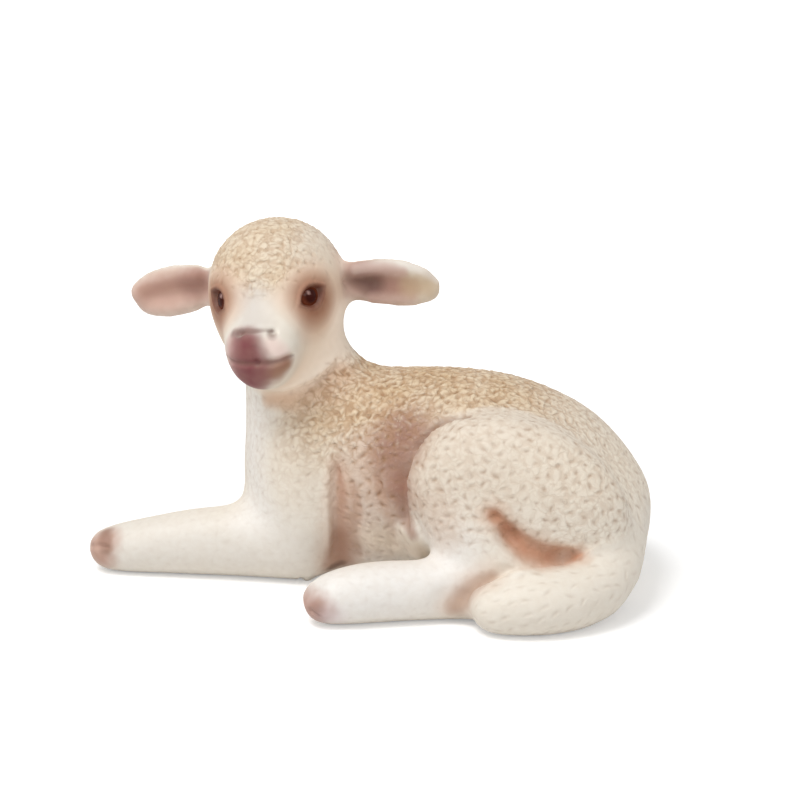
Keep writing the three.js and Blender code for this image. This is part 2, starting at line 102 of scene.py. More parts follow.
def pixel_ray(pixel):
    """The direction in which the camera looks at a pixel of the photograph."""
    turn = camera.rotation_euler.to_matrix()
    reach = PIXELS_PER_MM / MM * CAMERA_DISTANCE
    across = (pixel[0] - AIM_PIXEL[0]) / reach
    down = (pixel[1] - AIM_PIXEL[1]) / reach
    return (turn @ Vector((across, -down, -1))).normalized()


# %% [markdown]
# The photograph is a cut-out on white, with only a soft shadow under the belly and the feet. A broad
# softbox overhead, a weaker one on the camera's left, a small fill on its right and a pale world give
# that. What the camera sees of floor and world is white, and the floor still takes the shadow.

# %% The floor and the lamps
FLOOR_SIDE = 4.0


def soft_lamp(name, place, size, power):
    """A round area lamp, size in metres and power in watts, that looks at the figure."""
    lamp = bpy.data.lights.new(name, "AREA")
    lamp.shape = "DISK"
    lamp.size = size
    lamp.energy = power
    holder = bpy.data.objects.new(name, lamp)
    holder.location = place
    holder.rotation_euler = (place - aim).to_track_quat("Z", "Y").to_euler()
    bpy.context.scene.collection.objects.link(holder)


soft_lamp("softbox_above", Vector((-0.12, -0.2, 0.5)), 0.26, 1.5)
soft_lamp("softbox_left", Vector((-0.5, -0.35, 0.22)), 0.35, 0.4)
soft_lamp("fill_right", Vector((0.34, -0.3, 0.24)), 0.16, 0.3)

bm = bmesh.new()
bmesh.ops.create_grid(bm, x_segments=1, y_segments=1, size=FLOOR_SIDE / 2)
floor_mesh = bpy.data.meshes.new("floor")
bm.to_mesh(floor_mesh)
bm.free()
floor = bpy.data.objects.new("floor", floor_mesh)
bpy.context.scene.collection.objects.link(floor)
print("three lamps, and a floor of", FLOOR_SIDE, "m")

# %% [markdown]
# Materials are written as sums. A small class wraps a socket, so that adding or multiplying two wrapped
# sockets adds the Math node that does it.

# %% Shader maths on sockets


class Wire:
    """One socket of a node tree, which Python's operators can work with."""

    def __init__(self, tree, socket):
        self.tree = tree
        self.socket = socket

    def node(self, kind, settings=None, values=None, output=0):
        """A new node: first its settings, then the values or links of its sockets."""
        made = self.tree.nodes.new(kind)
        for name, value in (settings or {}).items():
            setattr(made, name, value)
        for name, value in (values or {}).items():
            if isinstance(value, Wire):
                self.tree.links.new(value.socket, made.inputs[name])
            else:
                made.inputs[name].default_value = value
        return Wire(self.tree, made.outputs[output])

    def maths(self, operation, *values):
        settings = {"operation": operation}
        return self.node("ShaderNodeMath", settings, dict(enumerate((self, *values))))

    def __add__(self, other):
        return self.maths("ADD", other)

    __radd__ = __add__

    def __mul__(self, other):
        return self.maths("MULTIPLY", other)

    __rmul__ = __mul__

    def __sub__(self, other):
        return self.maths("SUBTRACT", other)

    def __rsub__(self, other):
        return self.node("ShaderNodeMath", {"operation": "SUBTRACT"}, {0: other, 1: self})

    def __pow__(self, other):
        return self.maths("POWER", other)

    def clamped(self):
        return self.node("ShaderNodeClamp", values={"Value": self})

    def mixed(self, other, share):
        """This colour with a share of another colour over it."""
        values = {"Factor": share, 6: self, 7: other}
        return self.node("ShaderNodeMix", {"data_type": "RGBA"}, values, output=2)


def new_material(name):
    """An empty material, and the socket that takes its finished shader."""
    made = bpy.data.materials.new(name)
    made.use_nodes = True
    tree = made.node_tree
    tree.nodes.clear()
    output = tree.nodes.new("ShaderNodeOutputMaterial")
    return made, Wire(tree, output.inputs["Surface"])


def plain(red, green, blue):
    """A colour as the eye reads it on a screen, from 0 to 255, as the linear colour that a shader takes."""
    return tuple(((v / 255 + 0.055) / 1.055) ** 2.4 for v in (red, green, blue)) + (1,)


# %% [markdown]
# The floor is pale grey and takes the shadow near the figure. For the camera it also glows a little, more so
# far away, so that it ends in white.

# %% The floor's colours
SHADOW_REACH = 0.02
WHITE_FROM = 0.16
GLOW_NEAR = 0.3
GLOW_MORE = 0.3
FLOOR_GREY = (0.86, 0.86, 0.86, 1)

floor_material, floor_surface = new_material("white_sweep")
light_path = floor_surface.node("ShaderNodeLightPath", output=0)
matt = floor_surface.node("ShaderNodeBsdfDiffuse", values={"Color": FLOOR_GREY}, output=0)
floor_place = floor_surface.node("ShaderNodeTexCoord", output=3)
distance = floor_surface.node("ShaderNodeVectorMath", {"operation": "LENGTH"}, {0: floor_place}, output=1)
far_away = floor_surface.node(
    "ShaderNodeMapRange",
    {"interpolation_type": "SMOOTHSTEP"},
    {"Value": distance, "From Min": SHADOW_REACH, "From Max": WHITE_FROM},
)
glow_level = light_path * (GLOW_NEAR + GLOW_MORE * far_away)
glow = floor_surface.node("ShaderNodeEmission", values={"Strength": glow_level})
lit_floor = floor_surface.node("ShaderNodeAddShader", values={0: matt, 1: glow})
floor_surface.tree.links.new(lit_floor.socket, floor_surface.socket)
floor.data.materials.append(floor_material)
print("the floor is white from", WHITE_FROM, "m on")

# %% The world's light
ROOM_LEVEL = 0.5

world = bpy.data.worlds.new("pale_room")
world.use_nodes = True
bpy.context.scene.world = world
sky = world.node_tree.nodes["Background"]
ray_kind = world.node_tree.nodes.new("ShaderNodeLightPath")
direct = Wire(world.node_tree, ray_kind.outputs["Is Camera Ray"])
glossy = Wire(world.node_tree, ray_kind.outputs["Is Glossy Ray"])
through = Wire(world.node_tree, ray_kind.outputs["Is Transmission Ray"])
shown = (direct + glossy + through).clamped()
room_light = ROOM_LEVEL + (1 - ROOM_LEVEL) * shown
sky.inputs["Color"].default_value = (1, 1, 1, 1)
world.node_tree.links.new(room_light.socket, sky.inputs["Strength"])
bpy.context.scene.view_settings.view_transform = "Standard"
print("the world is white to the camera, and lights the figure with", ROOM_LEVEL)

# %% [markdown]
# The armature. Each solid of the frame is a faceted form with a glue gap of 0.3 mm to the next. A copy
# of each is swollen until the gaps close, and a voxel remesh fuses the lot into one skin of small even
# quads, as a sculptor's clay covers a wire frame.

# %% Fuse the solids into one skin
GRAIN = 0.35 * MM
SWELL = 0.2 * MM
SAME_PLACE = 0.001 * MM
NODES = sorted(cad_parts)


def swollen(name, growth):
    """A copy of one solid of the frame, merged, and grown on all sides."""
    bm = bmesh.new()
    bm.from_mesh(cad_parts[name].data)
    bmesh.ops.remove_doubles(bm, verts=bm.verts, dist=SAME_PLACE)
    bm.normal_update()
    for vert in bm.verts:
        vert.co += vert.normal * growth
    grown = bpy.data.meshes.new("swollen_" + name)
    bm.to_mesh(grown)
    bm.free()
    return grown


def with_modifier(mesh, kind, **settings):
    """The mesh as one modifier leaves it."""
    holder = bpy.data.objects.new("holder", mesh)
    bpy.context.scene.collection.objects.link(holder)
    modifier = holder.modifiers.new("step", kind)
    for name, value in settings.items():
        setattr(modifier, name, value)
    evaluated = holder.evaluated_get(bpy.context.evaluated_depsgraph_get())
    made = bpy.data.meshes.new_from_object(evaluated)
    bpy.data.objects.remove(holder)
    return made


bm = bmesh.new()
for name in NODES:
    solid = swollen(name, SWELL)
    bm.from_mesh(solid)
    bpy.data.meshes.remove(solid)
armature_mesh = bpy.data.meshes.new("armature")
bm.to_mesh(armature_mesh)
bm.free()
skin = with_modifier(armature_mesh, "REMESH", mode="VOXEL", voxel_size=GRAIN)
print("skin", len(skin.vertices), "points")

# %% [markdown]
# From here on the skin's points are worked on as one numpy array, in millimetres from the foot of the
# breast, because moving a hundred thousand points one by one would take minutes. Places along x run from
# the breast to the rump, y from the lamb's left, which is negative, to its right, and z up from the
# ground.

# %% The skin's points as arrays
ORIGIN = np.array(breast) / MM


def read_points(mesh):
    """A mesh's points in millimetres from the foot of the breast."""
    flat = np.empty(len(mesh.vertices) * 3)
    mesh.vertices.foreach_get("co", flat)
    return flat.reshape(-1, 3) / MM - ORIGIN


def write_points(mesh, points):
    """Put points in millimetres back into a mesh in metres."""
    mesh.vertices.foreach_set("co", ((points + ORIGIN) * MM).ravel())
    mesh.update()


def normals_of(mesh, points):
    """The mesh's normals, one for each point, when its points lie like this."""
    write_points(mesh, points)
    flat = np.empty(len(points) * 3)
    mesh.vertex_normals.foreach_get("vector", flat)
    return flat.reshape(-1, 3)


class Web:
    """Which points of a mesh are neighbours, for smoothing values over it."""

    def __init__(self, mesh):
        self.count = len(mesh.vertices)
        pairs = np.empty(len(mesh.edges) * 2, int)
        mesh.edges.foreach_get("vertices", pairs)
        self.here, self.there = pairs.reshape(-1, 2).T
        self.degree = np.bincount(pairs, minlength=self.count)

    def mean(self, values):
        """For each point, the mean value of its neighbours."""
        columns = values.reshape(self.count, -1).T
        sums = [
            np.bincount(self.here, column[self.there], self.count)
            + np.bincount(self.there, column[self.here], self.count)
            for column in columns
        ]
        return (np.stack(sums, axis=1) / self.degree[:, None]).reshape(values.shape)

    def smoothed(self, values, rounds, strength=0.5):
        """The values, moved towards their neighbours' mean in so many rounds."""
        made = values.astype(float)
        for _ in range(rounds):
            made += strength * (self.mean(made) - made)
        return made


points = read_points(skin)
web = Web(skin)
print("the skin reaches from", points.min(axis=0).round(1), "to", points.max(axis=0).round(1), "mm")

# %% [markdown]
# Where a seam lies is read from the frame: a point of the skin near two solids lies on a seam.

# %% How far each point lies from each solid of the frame
REACH = 4.0


def gaps_to_solids(points):
    """For each solid, how far away each point of the skin is, at most the reach."""
    far = {}
    for name in NODES:
        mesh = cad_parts[name].data
        corners = [vert.co / MM - breast / MM for vert in mesh.vertices]
        tree = BVHTree.FromPolygons(corners, [tuple(face.vertices) for face in mesh.polygons])
        low, high = (np.array(corner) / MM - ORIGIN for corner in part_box(name))
        near = np.all((points > low - REACH) & (points < high + REACH), axis=1)
        far[name] = np.full(len(points), REACH)
        for index in np.flatnonzero(near):
            distance = tree.find_nearest(points[index], REACH)[3]
            if distance is not None:
                far[name][index] = distance
    return far


gap = gaps_to_solids(points)
second_gap = np.sort(np.stack([gap[name] for name in NODES], axis=1), axis=1)[:, 1]
print("points within 1 mm of a seam:", int((second_gap < 1).sum()))

# %% [markdown]
# Smoothing does two jobs. First it fills the seams, widely where the real figure has no fold, as at the
# shoulder, the hip and the root of the tail, and hardly at all where it has one. Then it takes the
# facets away. Plain smoothing also shrinks a form, but it does so evenly over a wide stretch, while
# facets are small, so the widely smoothed part of the change is taken back again.

# %% Slopes and seams


def fade(values, full, none):
    """1 up to the first limit, 0 past the second, and an even slope between."""
    return np.clip((none - values) / (none - full), 0, 1)


def gain(values, none, full):
    """0 up to the first limit, 1 past the second, and an even slope between."""
    return np.clip((values - none) / (full - none), 0, 1)


def seam(first, other, reach):
    """1 on the seam between two solids, 0 where one of them is further away than the reach."""
    return fade(np.maximum(gap[first], gap[other]), 0, reach)


# %% How much each seam is filled
along, aside, up = points.T
above_elbow = gain(up, 5, 9)
on_hip = gain(along, 20, 27) * gain(up, 7, 12)
fill = 0.3 * fade(second_gap, 0, 1.2)
fill = np.maximum(fill, seam("trunk", "left_foreleg", 4) * above_elbow)
fill = np.maximum(fill, seam("trunk", "left_hind_leg", 3.5) * on_hip)
fill = np.maximum(fill, seam("trunk", "right_hind_leg", 3.5) * gain(up, 3, 7))
fill = np.maximum(fill, 0.6 * seam("trunk", "right_foreleg", 2.5))
fill = np.maximum(fill, seam("trunk", "tail", 3))
fill = np.maximum(fill, 0.3 * seam("trunk", "head", 1.5))
nape = 0.6 * fade(np.hypot(along - 15, up - 21), 0, 4) * fade(gap["trunk"], 0.5, 1.5)
chest = fade(np.hypot(along, up - 10), 4, 9) * fade(gap["trunk"], 0.5, 1.5)
fill = np.maximum(fill, np.maximum(nape, chest))
fill = np.minimum(1, 1.6 * fill)
on_ear = np.minimum(gap["left_ear"], gap["right_ear"]) < 0.6
fill[on_ear] = 0
print("points that are filled:", int((fill > 0).sum()))

# %% Fill the seams and smooth the facets
FILL_ROUNDS = 110
SMOOTH_ROUNDS = 60
WIDE_ROUNDS = 220

for _ in range(FILL_ROUNDS):
    points += 0.5 * fill[:, None] * (web.mean(points) - points)

crease = np.maximum(seam("trunk", "left_hind_leg", 1.2), seam("trunk", "right_hind_leg", 1.2))
crease *= fade(along, 20, 25)
crease = np.maximum(crease, seam("left_hind_leg", "tail", 1.0))
strength = np.where(on_ear, 0.25, 0.5 - 0.42 * crease)[:, None]
smooth = points.copy()
for _ in range(SMOOTH_ROUNDS):
    smooth += strength * (web.mean(smooth) - smooth)
points = smooth - web.smoothed(smooth - points, WIDE_ROUNDS)
points -= normals_of(skin, points) * SWELL / MM
points[:, 2] = np.maximum(points[:, 2], 0)
write_points(skin, points)
print("smoothed, height", round(points[:, 2].max(), 1), "mm")

# %% [markdown]
# Now the skin is fine enough for the main forms, and one round of subdivision makes it fine enough for
# the face and the wool. What each point's gap to the solids was goes along as attributes of the mesh.

# %% A finer skin
for name in NODES:
    skin.attributes.new("gap_" + name, "FLOAT", "POINT").data.foreach_set("value", gap[name])
FINER = 1
skin = with_modifier(skin, "SUBSURF", levels=FINER, render_levels=FINER)
points = read_points(skin)
web = Web(skin)
for name in NODES:
    gap[name] = np.empty(len(points))
    skin.attributes["gap_" + name].data.foreach_get("value", gap[name])
    skin.attributes.remove(skin.attributes["gap_" + name])
normals = normals_of(skin, points)
print("fine skin", len(points), "points")

# %% [markdown]
# The modelling tools. A path on the skin is found by looking through the camera at places in its
# picture, or, on the face, by places in the head's own frame: forward to the nose, to the lamb's left,
# and up, from the middle of the skull. One brush follows a path and presses the skin in, or raises it
# where its depth is negative. It only works on skin that faces it, so that a groove in an ear doesn't
# dent the ear's back.

# %% Paths on the skin
corners = np.empty(len(skin.polygons) * 4, int)
skin.polygons.foreach_get("vertices", corners)
corners = corners.reshape(-1, 4)


def skin_tree():
    """A search tree over the skin as it is now."""
    return BVHTree.FromPolygons(points.tolist(), corners.tolist())


surface = skin_tree()
eye_point = camera_place / MM - Vector(ORIGIN)

HEAD_MIDDLE = np.array([4.24, -1.57, 29.6])
HEAD_TURN = np.array(Euler([math.radians(v) for v in (5, 2, -86)], "XYZ").to_matrix())


def seen_at(*pixels):
    """The places on the skin that the photograph shows at these pixels, or nearest to them."""
    places = []
    for pixel in pixels:
        ray = pixel_ray(pixel)
        place = surface.ray_cast(eye_point, ray)[0]
        if place is None:
            place = Vector((0, 0, 0))
            for _ in range(4):
                place = surface.find_nearest(eye_point + ray * (place - eye_point).dot(ray))[0]
        places.append(np.array(place))
    return places


def on_face(*places):
    """The places on the skin nearest to these in the head's frame."""
    return [np.array(surface.find_nearest(HEAD_MIDDLE + HEAD_TURN @ np.array(p))[0]) for p in places]


def other_side(places):
    """The same places in the head's frame, mirrored."""
    return [(forward, -left, rise) for forward, left, rise in places]


# %% The brush


def follow(path, reach):
    """The points within reach of a path: which, how far away, on which side, and how far along it."""
    path = [np.array(place) for place in path]
    if len(path) == 1:
        path = [path[0], path[0] + 0.001]
    inward = -np.array(surface.find_nearest(path[len(path) // 2])[1])
    low = np.min(path, axis=0) - reach
    high = np.max(path, axis=0) + reach
    near = np.flatnonzero(np.all((points > low) & (points < high), axis=1))
    nearest = np.full(len(near), np.inf)
    side = np.zeros(len(near))
    done = np.zeros(len(near))
    for count, (start, end) in enumerate(zip(path[:-1], path[1:])):
        span = end - start
        share = np.clip((points[near] - start) @ span / (span @ span), 0, 1)
        offset = points[near] - start - share[:, None] * span
        distance = np.linalg.norm(offset, axis=1)
        across = np.cross(inward, span)
        closer = distance < nearest
        nearest[closer] = distance[closer]
        side[closer] = (offset @ across / np.linalg.norm(across))[closer]
        done[closer] = count + share[closer]
    return near, nearest, side, done


def facing(path, near):
    """1 on skin that faces the way the skin does under the path, 0 on skin that faces away."""
    here = np.mean([surface.find_nearest(place)[1] for place in path], axis=0)
    return gain(normals[near] @ here, -0.05, 0.35)


def brush(path, width):
    """A soft mark along a path: 1 on it, 0 a width away. A list of widths makes it swell and taper."""
    widths = np.broadcast_to(width, max(2, len(path)))
    near, nearest, _, done = follow(path, widths.max())
    share = np.clip(nearest / np.interp(done, np.arange(len(widths)), widths), 0, 1)
    mark = np.zeros(len(points))
    mark[near] = (1 - share**2) ** 2 * facing(path, near)
    return mark


relief = np.zeros(len(points))


def press(path, width, depth):
    """Press the skin in along a path, or raise it where the depth is negative."""
    relief[:] -= depth * brush(path, width)


def tuck(path, toward, width, depth):
    """Let the skin on one side of a path fall in under the other side, as where a thigh lies on a flank."""
    near, nearest, side, done = follow(path, width)
    middle = len(path) // 2
    inward = -np.array(surface.find_nearest(path[middle])[1])
    across = np.cross(inward, path[middle] - path[middle - 1])
    side *= np.sign(across @ (toward - path[middle])) / width
    done /= len(path) - 1
    fall = depth * np.clip(1 - side, 0, 1) ** 2 * gain(side, 0, 0.15)
    lip = -0.15 * depth * fade(np.abs(side), 0, 0.3) * (side <= 0)
    ends = fade(nearest, 0.6 * width, width) * np.clip(5 * np.minimum(done, 1 - done), 0, 1)
    relief[near] -= (fall + lip) * ends * facing(path, near)


def settle(rounds):
    """Soften what was pressed and move the skin by it."""
    global normals
    points[:] += normals * web.smoothed(relief, rounds)[:, None]
    relief[:] = 0
    normals = normals_of(skin, points)


# %% [markdown]
# The folds of the body. The thigh lies on the flank, which falls in before it. The upper arm stands off
# the ribs. The lower hind leg is folded under the thigh, with a hollow behind it, and the tail lies over
# both. They could be carved with Boolean cutters, but a soft brush leaves the rounded lips of a modelled
# fold.

# %% Where the folds run
flank = seen_at((380, 480))[0]
neck = seen_at((325, 415))[0]
ribs = seen_at((350, 505))[0]
hock = seen_at((450, 597))[0]
hollow = seen_at((528, 553))[0]
thigh_front = seen_at((478, 417), (454, 421), (435, 430), (419, 448), (410, 472), (407, 495))
knee_edge = seen_at((411, 465), (407, 490), (409, 515), (413, 530))
arm_back = seen_at((334, 452), (331, 470), (329, 492), (330, 520), (331, 545), (329, 562))
jaw_edge = seen_at((262, 390), (285, 391), (310, 382), (330, 367), (342, 350))
thigh_rear = seen_at((480, 500), (496, 511), (514, 526), (536, 541), (560, 548), (590, 550))
hollow_path = seen_at((496, 520), (510, 536), (524, 549), (542, 556), (566, 556))
tail_tip = seen_at((468, 612), (466, 600), (474, 590), (488, 583), (505, 575), (520, 570))
tail_top = seen_at((488, 583), (505, 575), (520, 570), (545, 565), (566, 562), (586, 553), (604, 541))
hock_side = seen_at((444, 600), (458, 596))
under_knee = seen_at((418, 536), (424, 550))
flank_ridge = seen_at((366, 490), (371, 520), (373, 546))
flank_folds = (
    seen_at((376, 476), (382, 498), (390, 520), (393, 545)),
    seen_at((352, 484), (357, 508), (354, 532), (358, 553)),
)

# %% Press the folds
tuck(thigh_front, flank, 4.4, 1.3)
tuck(knee_edge, flank, 2.6, 1.0)
tuck(arm_back, ribs, 3.0, 0.9)
tuck(jaw_edge, neck, 2.2, 0.65)
press(hollow_path[1:], [1.8, 2.2, 2.2, 1.2], 1.2)
press(hollow_path[:2], [1.5, 1.7], 0.45)
tuck(thigh_rear, hollow, 1.6, 0.5)
tuck(tail_top, hollow, 1.6, 0.6)
tuck(tail_tip, hock, 1.6, 0.6)
press(hock_side, 2.2, 0.4)
press(under_knee, 2.4, -1.0)
for fold in flank_folds:
    press(fold, [0.5, 0.9, 1.0, 0.9], 0.28)
press(flank_ridge, 1.0, -0.15)
relief += 0.45 * seam("right_foreleg", "right_hind_leg", 2.0)
print("deepest fold", round(-relief.min(), 2), "mm")

# %% [markdown]
# The rump is fuller than the plain solids, and the ears have a thick rolled edge over their hollow. The
# left ear's tip is blunted by smoothing it alone.

# %% Swell the rump and roll the ears' edges
RUMP_SWELL = [(44, 4, 21), (49, 4, 18), (53, 4, 14), (55, 3, 5)]
BLUNT_ROUNDS = 30

for place in RUMP_SWELL:
    press([np.array(surface.find_nearest(place)[0])], 8, -0.22)
right_ear_top = seen_at((196, 274), (175, 274), (152, 281), (140, 291))
left_ear_top = seen_at((354, 269), (370, 267), (390, 266), (408, 268), (424, 273))
right_ear_foot = seen_at((150, 307), (170, 310), (192, 303))
press(right_ear_top, 1.8, -0.75)
press(right_ear_foot, 1.5, -0.35)
press(left_ear_top, [1.8, 2.0, 1.9, 1.6, 1.2], -0.4)
settle(5)

left_ear_tip = seen_at((432, 277))[0]
blunt = fade(np.linalg.norm(points - left_ear_tip, axis=1), 1.5, 3.5)[:, None]
for _ in range(BLUNT_ROUNDS):
    points += 0.5 * blunt * (web.mean(points) - points)
normals = normals_of(skin, points)
print("length now", round(np.ptp(points[:, 0]), 1), "mm")

# %% [markdown]
# The face. Each eye sits in an almond-shaped opening between two lids, under a low brow. The opening is
# a small bowl, the lids are a raised rim round it, and the eyeball itself is a ball of its own, made
# later.

# %% Open the eyes
EYE_PLACE = (4.45, 4.8, 0.2)
EYE_INNER_CORNER = (6.3, 3.45, -0.5)
EYE_WIDTH = 1.5
EYE_HEIGHT = 1.1
EYE_BOWL = 0.75
LID_RISE = 0.15
LID_CREASE = 0.05


class Eye:
    """An eye's own frame on the skin: across to the inner corner, up, and out of the head."""

    def __init__(self, places):
        self.middle, inner = on_face(*places)
        self.out = np.array(surface.find_nearest(self.middle)[1])
        across = inner - self.middle
        across -= self.out * (across @ self.out)
        self.across = across / np.linalg.norm(across)
        self.up = np.cross(self.out, self.across)
        self.up *= np.sign(self.up[2])

    def ring(self):
        """How far out each point lies, from 0 in the middle over 1 on the edge, and how far up."""
        place = points - self.middle
        sideways = place @ self.across / EYE_WIDTH
        upward = place @ self.up
        upward /= EYE_HEIGHT * np.maximum(0.25, 1 - 0.35 * sideways**2) * np.where(upward > 0, 0.85, 1)
        ring = np.hypot(sideways, upward)
        ring[np.linalg.norm(place, axis=1) > 4] = 9
        return ring, upward

    def open(self):
        """Sink the bowl, raise the lids round it and draw the upper lid's crease."""
        ring, upward = self.ring()
        bowl = EYE_BOWL * np.sqrt(np.clip(1 - ring**2, 0, 1))
        lid = LID_RISE * np.exp(-(((ring - 1.2) / 0.22) ** 2)) * np.where(upward > 0, 1.15, 0.8)
        crease = LID_CREASE * np.exp(-(((ring - 1.75) / 0.2) ** 2)) * (upward > 0)
        relief[:] += lid - bowl - crease


eye_places = [EYE_PLACE, EYE_INNER_CORNER]
eyes = {"left": Eye(eye_places), "right": Eye(other_side(eye_places))}
for eye in eyes.values():
    eye.open()

brow = [(6.0, 2.9, 2.1), (4.7, 4.5, 2.2), (2.8, 5.9, 1.9)]
for places in (brow, other_side(brow)):
    press(on_face(*places), 1.3, -0.14)
print("eyes open at", [eye.middle.round(1).tolist() for eye in eyes.values()])

# %% [markdown]
# The nostrils are two dimples under the edge of the nose, and the mouth is one curved line that turns up
# at its ends. The same brush makes them, with paths in the head's frame, mirrored for the other side.

# %% Cut the nostrils and the mouth
nostril = [(9.55, 1.75, -1.75)]
nose_ledge = [(9.5, -1.9, -1.6), (9.7, 0, -1.6), (9.5, 1.9, -1.6)]
lip_line = [(10.4, 0, -4.7), (10.1, 1.4, -4.75), (9.5, 2.9, -4.6), (8.9, 3.45, -4.45)]
philtrum = [(10.2, 0, -3.2), (10.4, 0, -4.3)]
for places in (nostril, other_side(nostril)):
    press(on_face(*places), 0.7, 0.3)
for places in (lip_line, other_side(lip_line)):
    press(on_face(*places), [0.5, 0.55, 0.5, 0.3], 0.28)
press(on_face(*nose_ledge), 0.55, 0.16)
press(on_face(*philtrum), 0.5, 0.15)
settle(1)
print("mouth", round(2 * lip_line[-1][1], 1), "mm wide")

# %% [markdown]
# A hoof is set off from the hair by a shallow edge, and a cleft parts its two toes. The clefts are in
# the frame's solids, but one skin over them all nearly closes them, so they are pressed in again.

# %% Shape the hooves
fore_coronet = seen_at((113, 522), (109, 541), (106, 560))
fore_cleft = seen_at((90, 546), (100, 546), (108, 547))
hind_coronet = seen_at((335, 582), (326, 596), (322, 612), (326, 628))
hind_cleft = seen_at((301, 605), (311, 611), (320, 617))
for coronet in (fore_coronet, hind_coronet):
    press(coronet, 0.6, 0.14)
for cleft in (fore_cleft, hind_cleft):
    press(cleft, [0.5, 0.5, 0.2], 0.3)
hind_toe_top = seen_at((307, 594), (314, 589))
hind_toe_foot = seen_at((305, 612), (310, 620))
press(hind_toe_top, 1.5, 0.4)
press(hind_toe_foot, 1.4, -0.25)
settle(1)
surface = skin_tree()
print("hooves shaped")

# %% [markdown]
# The wool is pressed in dent by dent, as with the end of a small tool. A dent is a comma: a short
# groove, bent to one side, that throws up a low ridge beside it. The dents stand close on the back and
# the crown, and wider on the thighs and the rump. On the legs and the chest they are faint, and on the
# tail long and slanting. The face has none. So each point of the skin first learns how much of each wool
# it bears.

# %% Which part each point lies on
head_place = (points - HEAD_MIDDLE) @ HEAD_TURN
forward, leftward, rise = head_place.T
along, aside, up = points.T
near_head = fade(gap["head"], 0.6, 1.6)
near_ear = fade(np.minimum(gap["left_ear"], gap["right_ear"]), 0.7, 1.2)
near_thigh = fade(np.minimum(gap["left_hind_leg"], gap["right_hind_leg"]), 0.5, 1.2)
on_tail = fade(gap["tail"], 0.5, 1.2)
near_tail = on_tail * fade(up, 8, 13)
near_ground = fade(up, 6, 11)
print("points on the head:", int((near_head > 0.5).sum()), "and on the tail:", int((on_tail > 0.5).sum()))

# %% Where the wool grows
crown_edge = 2.2 - 1.4 * fade(np.abs(leftward), 1.0, 3.2)
crown = np.maximum(fade(crown_edge - rise, -1.0, 0.7), fade(forward, -4, -1.5))
crown = crown * near_head * (1 - near_ear)
crown *= 1 - 0.5 * gain(leftward, 2.5, 5.5) * gain(forward, -3, 0)
back_edge = 15 + 4 * np.exp(-(((along - 25) / 8) ** 2))
back_front = np.maximum(gain(along, 5.5, 10), gain(up, 20, 25) * gain(along, 1.5, 6))
back = fade(back_edge - up, -2.0, 3.0) * back_front * fade(along, 28, 42)
back *= (1 - fade(gap["head"], 1.0, 2.8)) * (1 - near_thigh) * (1 - near_tail) * (1 - near_ear)
dense = np.maximum(crown, back)
bare = np.maximum(near_head * (1 - crown), near_ear)
thigh = near_thigh * gain(up, 7, 9) * (1 - near_tail) * (0.45 + 0.55 * fade(along, 24, 34))
belly_side = seen_at((366, 462), (368, 500), (372, 545))
thigh = np.maximum(thigh, brush(belly_side, 4.5) ** 0.5)
rump = gain(along, 30, 38) * (1 - near_tail) * (1 - bare) * (1 - dense)
faint = (1 - dense) * (1 - bare)
print("share of the skin with dense wool", dense.mean().round(2), "and with none", bare.mean().round(2))

# %% [markdown]
# The dents' places come from dice with a fixed seed, so that each run gives the same figure. A place is
# taken only when no dent lies within the spacing that its kind of wool has.

# %% Choose the places of the dents
CLOSE = 0.68
OPEN = 1.15
CANDIDATES = 90000

dice = np.random.default_rng(11)
spacing = OPEN + (CLOSE - OPEN) * np.maximum(dense, 0.4 * np.maximum(thigh, rump))
chance = (1 - bare) / spacing**2
enough = min(CANDIDATES, len(points) // 3)
candidates = dice.choice(len(points), size=enough, replace=False, p=chance / chance.sum())
tree = KDTree(len(candidates))
for count, index in enumerate(candidates):
    tree.insert(points[index], count)
tree.balance()
free = np.ones(len(candidates), bool)
seeds = []
for count, index in enumerate(candidates):
    if free[count]:
        seeds.append(index)
        for _, other, _ in tree.find_range(points[index], spacing[index]):
            free[other] = False
seeds = np.array(seeds)
print("dents:", len(seeds))

# %% [markdown]
# Each dent has a direction in the skin, a size and a depth of its own. The points near it are found
# once, and then all dents are pressed together: u runs along a groove and v across it, in halves of its
# length and width.

# %% Find the points round each dent
DENT_REACH = 0.7

tree = KDTree(len(points))
for index, place in enumerate(points):
    tree.insert(place, index)
tree.balance()
around = [[found[1] for found in tree.find_range(points[index], DENT_REACH)] for index in seeds]
owner = np.repeat(np.arange(len(seeds)), [len(found) for found in around])
touched = np.concatenate(around)
print("points round each dent:", round(len(touched) / len(seeds)))

# %% Give each dent its direction, size and depth
GROOVE_LENGTH = 0.66
GROOVE_WIDTH = 0.3
DEEP = 0.14

flow = np.zeros((len(seeds), 3))
flow[:, 0] = 0.8
flow[:, 2] = dice.choice([-0.75, 0.75], len(seeds))
tail_share = on_tail[seeds]
flow[:, 2] *= np.where(dense[seeds] > 0.3, 1, 0.6) * (1 - 0.7 * tail_share)
flow[:, 2] += 0.4 * tail_share
flow += dice.normal(0, 0.45, flow.shape) * (1 - 0.6 * tail_share)[:, None]
out = normals[seeds]
flow -= out * (flow * out).sum(axis=1, keepdims=True)
flow /= np.linalg.norm(flow, axis=1, keepdims=True)
across = np.cross(out, flow) * dice.choice([-1, 1], len(seeds))[:, None]

size = dice.uniform(0.75, 1.15, len(seeds)) * (1 + 0.2 * thigh[seeds] * (1 - dense[seeds]))
length = size * np.where(crown[seeds] > 0.5, 0.6, 1) * (1 + 0.5 * tail_share) * GROOVE_LENGTH
width = size * GROOVE_WIDTH
depth = 0.22 - 0.12 * near_ground[seeds] + 0.78 * dense[seeds] + 0.45 * thigh[seeds] + 0.3 * tail_share
depth = DEEP * size * depth.clip(0, 1)
print("deepest dent", depth.max().round(2), "mm")

